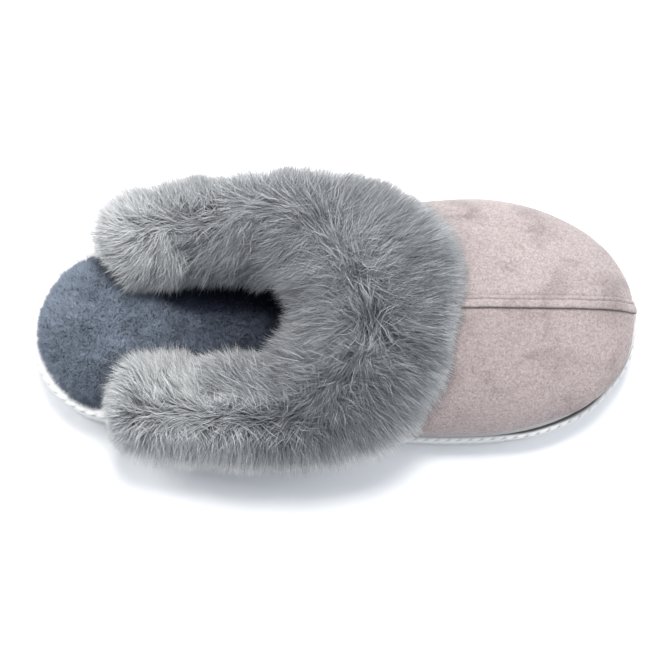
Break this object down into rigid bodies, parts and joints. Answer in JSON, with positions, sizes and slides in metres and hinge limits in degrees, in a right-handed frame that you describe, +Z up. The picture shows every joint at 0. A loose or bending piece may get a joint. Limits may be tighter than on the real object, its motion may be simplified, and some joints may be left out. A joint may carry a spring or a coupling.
{
  "type": "fluffy house slipper",
  "caption": "Backless house slipper with a long-pile fluffy collar, a suede-like vamp with a centre seam, a plush footbed and a ribbed cup sole.",
  "frame": {"origin": "on the ground under the middle of the slipper", "axes": "+X from the heel to the toe, +Y across the slipper towards its left side, +Z up"},
  "size_m": [0.264, 0.1319, 0.0774],
  "materials": {
    "sole_rubber": "matte",
    "midsole_foam": "matte",
    "board": "matte",
    "soft_foam": "matte",
    "plush": "matte",
    "suede": "matte",
    "fur": "matte",
    "thread": "matte",
    "stiffener": "matte"
  },
  "bodies": {
    "root": {"outsole": "sole_rubber", "midsole": "midsole_foam", "insole_board": "board", "memory_foam": "soft_foam", "insole_cover": "plush", "toe_stiffener": "stiffener", "topline_tape": "stiffener", "upper_padding": "soft_foam", "upper_lining": "plush", "vamp_suede_left": "suede", "vamp_suede_right": "suede", "centre_seam_strip": "suede", "centre_seam_thread": "thread", "collar_padding": "soft_foam", "collar_seam_thread": "thread", "collar_fur": "fur"}
  },
  "joints": []
}
